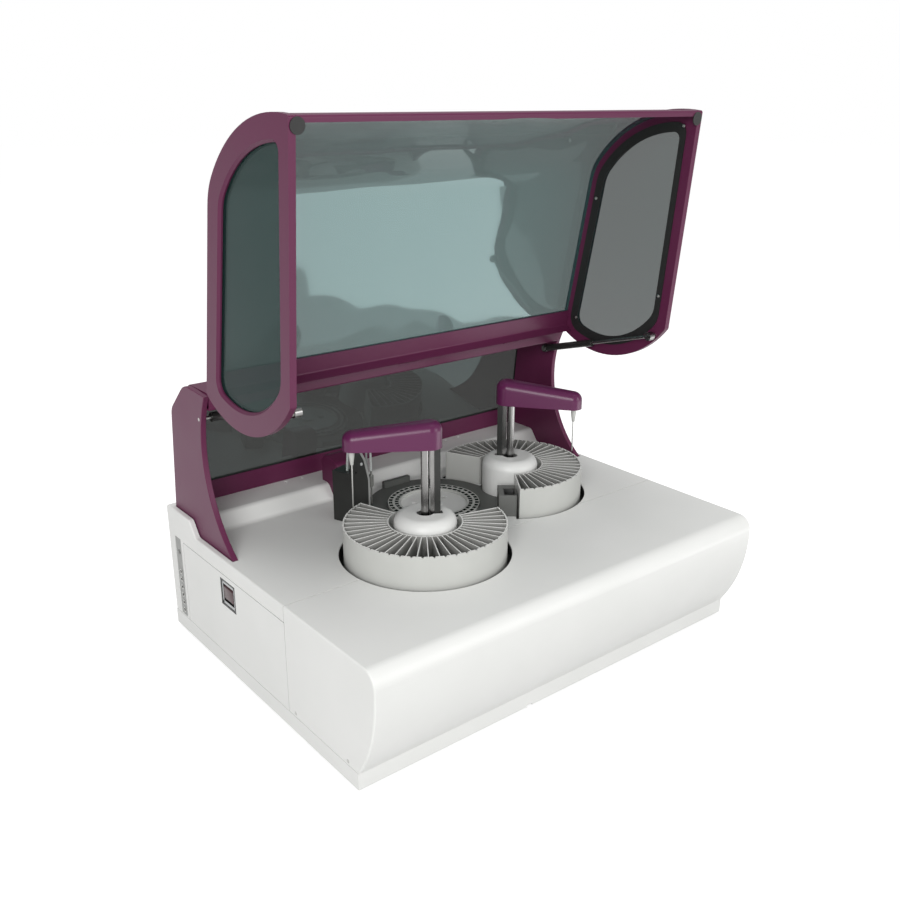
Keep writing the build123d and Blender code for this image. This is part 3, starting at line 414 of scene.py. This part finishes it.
def makeTray(side, middle, first):
    look = trayLook
    span = look["slots"] * look["slotDeg"]
    steps = look["slots"] * look["perSlot"]
    outerWall = spunWall(side + "OuterWall", look["outerR"] - look["wall"], look["outerR"],
                         look["low"], look["top"], first, span, steps)

    def nicked(co, normal):
        angle = (math.degrees(math.atan2(co.y, co.x)) - first) % look["slotDeg"]
        return co.z > look["top"] - near and abs(angle - look["slotDeg"] / 2) < look["nickDeg"]

    edit(outerWall)
    pick(outerWall, "verts", nicked)
    bpy.ops.transform.translate(value=(0, 0, -look["nick"]))
    done()
    innerWall = spunWall(side + "InnerWall", look["innerR"], look["innerR"] + look["wall"],
                         look["low"], look["top"], first, span, steps // 2)
    floorPlate = spunWall(side + "TrayFloor", look["innerR"] + look["floorIn"],
                          look["outerR"] - look["floorIn"], look["low"], look["low"] + look["floor"],
                          first + look["floorInDeg"], span - 2 * look["floorInDeg"], steps // 4)
    fins = [trayFin(side, count, first) for count in range(look["slots"] + 1)]
    whole = joined(side + "Tray", [outerWall, innerWall, floorPlate] + fins)
    moveAll(whole, by=(*middle, 0))
    smooth(whole, deg=30)
    dress(whole, side + "_tray", "whitePolystyrene", "white_tray",
          side + "_tray", side + "_tray_dividers")

    def shadedSlotWalls(co, normal):
        reach = math.hypot(co.x - middle[0], co.y - middle[1])
        turned = (math.degrees(math.atan2(co.y - middle[1], co.x - middle[0])) - first) % 360
        within = look["wall"] - look["overlap"]
        return (look["innerR"] + within < reach < look["outerR"] - within
                and look["endDeg"] < turned < span - look["endDeg"] and co.z < look["top"] - closeBy)

    def highlitUpperEdges(co, normal):
        return co.z > look["top"] - look["edge"] and normal.z > look["edgeTilt"]

    edit(whole)
    # painted shade: the slot walls below the rim take a darker colour
    pick(whole, "faces", shadedSlotWalls)
    paint(whole, "trayPaintedShade")
    # painted highlight: the upper edges of rims and fins take a brighter colour
    pick(whole, "faces", highlitUpperEdges)
    paint(whole, "trayPaintedHighlight")
    done()


for side, tray in trays.items():
    makeTray(side, tray["centre"], tray["start"])
print("trays made")

# power module: dark frame, grey plate with a pocket, two-coloured rocker
moduleLook = {"face": -0.425, "y": 0.102, "z": 0.1605, "wide": 0.0524, "high": 0.0504, "deep": 0.0175,
              "frame": 0.0032, "round": 0.0012, "plateIn": 0.0012, "rim": 0.0042, "pocketHigh": 0.033,
              "pocketDeep": 0.0105}
rockerLook = {"wide": 0.035, "radius": 0.0161, "pivotX": -0.412, "frontIn": 0.001, "backIn": 0.009,
              "round": 0.0006, "redTilt": -0.3}


def makePowerModule():
    look = moduleLook
    halfWide, halfHigh = look["wide"] / 2, look["high"] / 2
    body = boxPiece("powerModule", (look["face"], look["y"] - halfWide, look["z"] - halfHigh),
                    (look["face"] + look["deep"], look["y"] + halfWide, look["z"] + halfHigh))
    dress(body, "base", "blackAbs", "black_plastic", "power_module")
    edit(body)
    pick(body, "edges", lambda co, along: abs(along.x) > longEdge)
    bpy.ops.mesh.bevel(offset=look["round"], segments=3, affect="EDGES")
    pick(body, "faces", lambda co, normal: normal.x < -facing)
    bpy.ops.mesh.inset(thickness=look["frame"])
    push((look["plateIn"], 0, 0))
    paint(body, "palePlate")
    bpy.ops.mesh.inset(thickness=look["rim"])
    inner = look["high"] - 2 * (look["frame"] + look["rim"])
    bpy.ops.transform.resize(value=(1, 1, look["pocketHigh"] / inner))
    push((look["pocketDeep"], 0, 0))
    pick(body, "faces", lambda co, normal: co.x > look["face"] + look["plateIn"] + closeBy)
    body.active_material_index = 0
    bpy.ops.object.material_slot_assign()
    done()
    smooth(body, deg=30)


def makeRocker():
    look = rockerLook
    rocker = start("powerRocker", "cylinder", vertices=72, radius=look["radius"], depth=look["wide"],
                   location=(0, 0, 0), rotation=(math.pi / 2, 0, 0))
    moveAll(rocker, by=(look["pivotX"], moduleLook["y"], moduleLook["z"]))
    edit(rocker)
    for plane, way in ((look["backIn"], 1), (look["frontIn"], -1)):
        bpy.ops.mesh.select_all(action="SELECT")
        bpy.ops.mesh.bisect(plane_co=(moduleLook["face"] + plane, 0, 0), plane_no=(way, 0, 0),
                            use_fill=True, clear_outer=True)
    done()
    outward(rocker)
    roundEdges(rocker, look["round"], sharpDeg=40)
    dress(rocker, "power_switch", "blackAbs", "black_plastic", "power_rocker")
    edit(rocker)
    pick(rocker, "faces", lambda co, normal: co.z > moduleLook["z"] and normal.x < look["redTilt"])
    paint(rocker, "redAbs")
    done()
    smooth(rocker, deg=30)


makePowerModule()
makeRocker()

# wash station: two silicone tubes that rise from the column and bend over to the nozzles
washLook = {"tubeR": 0.0021, "bendSteps": 10, "ringSteps": 6}
washRoutes = {
    "outerTube": [(-0.1675, 0.1190, 0.3215), (-0.1665, 0.1192, 0.352), (-0.1600, 0.1208, 0.374),
                  (-0.1440, 0.1225, 0.384), (-0.1230, 0.1245, 0.377), (-0.1140, 0.1232, 0.352),
                  (-0.11385, 0.1222, 0.326), (-0.11385, 0.12206, 0.3070)],
    "innerTube": [(-0.1603, 0.1257, 0.3215), (-0.1598, 0.1262, 0.346), (-0.1545, 0.1290, 0.366),
                  (-0.1400, 0.1320, 0.376), (-0.1240, 0.1335, 0.370), (-0.1172, 0.1318, 0.350),
                  (-0.11719, 0.1315, 0.326), (-0.11719, 0.13148, 0.3070)],
}


def tubeAlong(name, route, radius):
    line = bpy.data.curves.new(name, "CURVE")
    line.dimensions = "3D"
    run = line.splines.new("NURBS")
    run.points.add(len(route) - 1)
    for point, place in zip(run.points, route):
        point.co = (*place, 1)
    run.order_u = 3
    run.use_endpoint_u = True
    line.resolution_u = washLook["bendSteps"]
    line.bevel_depth = radius
    line.bevel_resolution = washLook["ringSteps"]
    line.use_fill_caps = True
    made = bpy.data.objects.new(name, line)
    scene.collection.objects.link(made)
    choose(made)
    bpy.ops.object.convert(target="MESH")
    made = bpy.context.object
    smooth(made, deg=60)
    return made


tubes = joined("washTubes", [tubeAlong(name, route, washLook["tubeR"])
                             for name, route in washRoutes.items()])
dress(tubes, "base", "milkySilicone", "clear_tube", "wash_tubes")

# cuvettes: a dark well in each pocket of the ring, painted shade for the inside of the glass cuvettes; rows
# give radius, length and shift
cuvetteLook = {"centre": (0.0, 0.080), "rows": ((0.0826, 0.0099, 0.0), (0.0710, 0.0089, 0.5)),
               "wide": 0.0068, "low": 0.2080, "top": 0.2306, "rim": 0.0004, "deep": 0.0060,
               "count": 40, "firstDeg": 228.27}


def makeCuvettes():
    look = cuvetteLook
    wells = []
    pitch = 360 / look["count"]
    for radius, long, shift in look["rows"]:
        well = boxPiece("cuvette", (-look["wide"] / 2, -long / 2, look["low"]),
                        (look["wide"] / 2, long / 2, look["top"]))
        hollowTop(well, look["rim"], look["deep"])
        for place in range(look["count"]):
            one = copyOf(well, "cuvette")
            moveAll(one, by=(radius, 0, 0))
            moveAll(one, turnDeg=look["firstDeg"] + (place + shift) * pitch)
            wells.append(one)
        bpy.data.objects.remove(well)
    whole = joined("cuvettes", wells)
    moveAll(whole, by=(*look["centre"], 0))
    # painted shade: the wells take a dark colour
    dress(whole, "reaction_rotor", "cuvettePaintedShade", "black_plastic")


makeCuvettes()

# needles: a pale ferrule that narrows to a steel needle, under the tip of each arm
needles = {
    "front": {"armDeg": 148.5, "under": 0.415, "tip": 0.3090},
    "rear": {"armDeg": -53.0, "under": 0.403, "tip": 0.3150},
}
needleLook = {"armReach": 0.121, "headR": 0.0050, "neckR": 0.0026, "needleR": 0.0012, "headLong": 0.010,
              "neckLong": 0.018, "point": 0.004, "pointShare": 0.35, "overlap": 0.001, "round": 0.0006}


def makeNeedle(side, place):
    look = needleLook
    middle, arm = trays[side]["centre"], math.radians(place["armDeg"])
    axis = (middle[0] + look["armReach"] * math.cos(arm), middle[1] + look["armReach"] * math.sin(arm))
    headTop = place["under"] + look["overlap"]
    headEnd = place["under"] - look["headLong"]
    neckEnd = headEnd - look["neckLong"]
    ferrule = start(side + "Ferrule", "cylinder", vertices=32, radius=look["headR"], depth=look["overlap"],
                    location=(*axis, headTop - look["overlap"] / 2))
    edit(ferrule)
    for height, share in ((headEnd, 1.0), (neckEnd, look["neckR"] / look["headR"])):
        pick(ferrule, "faces", lambda co, normal: normal.z < -facing)
        low = min(v.co.z for v in bmesh.from_edit_mesh(ferrule.data).verts)
        push((0, 0, height - low))
        bpy.ops.transform.resize(value=(share, share, 1), center_override=(*axis, height))
    done()
    roundEdges(ferrule, look["round"], sharpDeg=30)
    smooth(ferrule, deg=40)
    dress(ferrule, side + "_arm", "whitePolystyrene", "clear_tube")
    shaftTop = neckEnd + look["overlap"]
    shaftEnd = place["tip"] + look["point"]
    needle = start(side + "Needle", "cylinder", vertices=24, radius=look["needleR"],
                   depth=shaftTop - shaftEnd, location=(*axis, (shaftTop + shaftEnd) / 2))
    edit(needle)
    pick(needle, "faces", lambda co, normal: normal.z < -facing)
    push((0, 0, -look["point"]))
    share = look["pointShare"]
    bpy.ops.transform.resize(value=(share, share, 1), center_override=(*axis, place["tip"]))
    done()
    smooth(needle, deg=40)
    dress(needle, side + "_arm", "drawnSteel", "steel", side + "_probe")


for side, place in needles.items():
    makeNeedle(side, place)

# small pan-head screws with a round recess
screwLook = {"headR": 0.0030, "high": 0.0016, "round": 0.0006, "landShare": 0.35, "recess": 0.0006}


def panHead(name):
    look = screwLook
    head = start(name, "cylinder", vertices=28, radius=look["headR"], depth=look["high"],
                 location=(0, 0, look["high"] / 2))
    edit(head)
    pick(head, "edges", lambda co, along: co.z > look["high"] - near and abs(along.z) < near)
    bpy.ops.mesh.bevel(offset=look["round"], segments=3, affect="EDGES")
    pick(head, "faces", lambda co, normal: normal.z > squarely)
    bpy.ops.mesh.inset(thickness=look["headR"] * look["landShare"])
    push((0, 0, -look["recess"]))
    done()
    return head


# four on each window gasket, placed on the closed lid and turned open with it
gasketScrews = {"x": 0.3965, "openDeg": 84.6, "hinge": (0, 0.153, 0.494),
                "places": ((-0.289, 0.251), (-0.132, 0.437), (0.018, 0.251), (0.113, 0.453))}


def makeGasketScrews():
    heads = []
    for sign in (-1, 1):
        for y, z in gasketScrews["places"]:
            head = panHead("gasketScrew")
            moveAll(head, turnDeg=-90 * sign, axis="Y")
            moveAll(head, by=(sign * gasketScrews["x"], y, z))
            heads.append(head)
    screws = joined("gasketScrews", heads)
    moveAll(screws, turnDeg=-gasketScrews["openDeg"], axis="X", about=gasketScrews["hinge"])
    smooth(screws, deg=30)
    dress(screws, "lid", "drawnSteel", "steel")


makeGasketScrews()

# reader: a black well under the window in its top
readerLook = {"about": (0.16603, 0.04902), "turn": -127.59, "low": (0.1007, -0.0201, 0.2522),
              "high": (0.1328, 0.0010, 0.2656), "rim": 0.0012, "deep": 0.0105, "round": 0.0004}


def makeReaderWell():
    look = readerLook
    well = boxPiece("readerWell", look["low"], look["high"])
    hollowTop(well, look["rim"], look["deep"])
    roundEdges(well, look["round"], sharpDeg=40)
    moveAll(well, turnDeg=look["turn"])
    moveAll(well, by=(*look["about"], 0))
    smooth(well, deg=30)
    dress(well, "base", "blackAbs", "black_plastic")


makeReaderWell()

# screws of the wash station's side plate, sunk a little into it
plateScrews = {"about": (-0.1728, 0.0980), "turn": 19.5, "sunk": 0.0002,
               "places": ((0.0300, 0.3320), (0.0330, 0.2450))}


def makePlateScrews():
    heads = []
    for x, z in plateScrews["places"]:
        head = panHead("plateScrew")
        moveAll(head, turnDeg=90, axis="X")
        moveAll(head, by=(x, -plateScrews["sunk"], z))
        moveAll(head, turnDeg=plateScrews["turn"])
        heads.append(head)
    screws = joined("plateScrews", heads)
    moveAll(screws, by=(*plateScrews["about"], 0))
    smooth(screws, deg=30)
    dress(screws, "base", "palePlate", "steel")


makePlateScrews()
print("small pieces made")


# 1 for a ray of any of the kinds named
def rayIs(tree, *kinds):
    rays = addNode(tree, "ShaderNodeLightPath")
    found = rays.outputs[kinds[0]]
    for kind in kinds[1:]:
        either = addNode(tree, "ShaderNodeMath", {"operation": "MAXIMUM"})
        tree.links.new(found, either.inputs[0])
        tree.links.new(rays.outputs[kind], either.inputs[1])
        found = either.outputs[0]
    return found


# paper floor: takes shadows, and glows where it is seen, mirrored or looked at through a pane
floorLook = {"size": 40.0, "glow": 0.70, "diffuse": 0.55}
bpy.ops.object.select_all(action="DESELECT")
bpy.ops.mesh.primitive_plane_add(size=floorLook["size"], location=(0, 0, 0))
floor = bpy.context.object
floor.name = "studioFloor"
floorMat = bpy.data.materials.new("studioPaper")
floorMat.use_nodes = True
tree = floorMat.node_tree
tree.nodes.clear()
strength = addNode(tree, "ShaderNodeMath", {"operation": "MULTIPLY"})
strength.inputs[1].default_value = floorLook["glow"]
tree.links.new(rayIs(tree, "Is Camera Ray", "Is Glossy Ray", "Is Transmission Ray"), strength.inputs[0])
glow = addNode(tree, "ShaderNodeEmission", {"Color": (1, 1, 1, 1)}, {"Strength": strength.outputs[0]})
paper = addNode(tree, "ShaderNodeBsdfDiffuse", {"Color": (floorLook["diffuse"],) * 3 + (1,)})
both = addNode(tree, "ShaderNodeAddShader")
tree.links.new(glow.outputs[0], both.inputs[0])
tree.links.new(paper.outputs[0], both.inputs[1])
addNode(tree, "ShaderNodeOutputMaterial", None, {"Surface": both.outputs[0]})
floor.data.materials.append(floorMat)

# world: white to the camera and through the panes, a weaker fill for everything else
worldLook = {"fill": 0.55, "seen": 1.0}
world = bpy.data.worlds.new("studioWorld")
scene.world = world
world.use_nodes = True
tree = world.node_tree
tree.nodes.clear()
fill = addNode(tree, "ShaderNodeBackground", {"Color": (1, 1, 1, 1), "Strength": worldLook["fill"]})
white = addNode(tree, "ShaderNodeBackground", {"Color": (1, 1, 1, 1), "Strength": worldLook["seen"]})
mixed = addNode(tree, "ShaderNodeMixShader", None,
                {"Fac": rayIs(tree, "Is Camera Ray", "Is Transmission Ray")})
tree.links.new(fill.outputs[0], mixed.inputs[1])
tree.links.new(white.outputs[0], mixed.inputs[2])
addNode(tree, "ShaderNodeOutputWorld", None, {"Surface": mixed.outputs[0]})

# key from the left, weak fill from the right, a soft top light, and a panel on the floor
# that lights nothing and only shows in reflections
lamps = {
    "keyLamp": {"place": (-2.6, -2.4, 1.7), "size": (1.8, 1.8), "power": 86, "aim": (0, 0, 0.3)},
    "fillLamp": {"place": (1.6, -3.2, 1.3), "size": (1.8, 1.8), "power": 36, "aim": (0, 0, 0.2)},
    "topLamp": {"place": (0.2, 0.3, 3.4), "size": (2.4, 2.4), "power": 39, "aim": (0, 0, 0.3)},
    "lowPanel": {"place": (1.0, -1.12, 0.02), "size": (0.85, 1.15), "power": 9, "turnDeg": 24,
                 "mirrorOnly": True},
}
for name, lamp in lamps.items():
    bpy.ops.object.light_add(type="AREA", location=lamp["place"])
    lampObject = bpy.context.object
    lampObject.name = name
    lampObject.data.energy = lamp["power"]
    lampObject.data.shape = "RECTANGLE"
    lampObject.data.size, lampObject.data.size_y = lamp["size"]
    lampObject.visible_camera = False
    lampObject.visible_diffuse = not lamp.get("mirrorOnly", False)
    if "aim" in lamp:
        towards = Vector(lamp["aim"]) - Vector(lamp["place"])
        lampObject.rotation_euler = towards.to_track_quat("-Z", "Y").to_euler()
    else:
        lampObject.rotation_euler = (math.pi, 0, math.radians(lamp["turnDeg"]))

# the photograph's camera, fitted to the corners of the body and the lid
cameraLook = {"place": (-1.0526, -1.2832, 0.9571), "lens": 39.01, "sensor": 36, "clip": 0.05,
              "yaw": -38.703, "pitch": 70.128, "roll": 0.118}
bpy.ops.object.camera_add(location=cameraLook["place"])
camera = bpy.context.object
camera.name = "photoCamera"
camera.data.lens = cameraLook["lens"]
camera.data.sensor_width = cameraLook["sensor"]
camera.data.clip_start = cameraLook["clip"]
turns = [Matrix.Rotation(math.radians(cameraLook[key]), 4, axis)
         for key, axis in (("yaw", "Z"), ("pitch", "X"), ("roll", "Z"))]
camera.rotation_euler = (turns[0] @ turns[1] @ turns[2]).to_euler()
scene.camera = camera
scene.view_settings.view_transform = "Standard"
print("stage set")

bpy.context.view_layer.update()
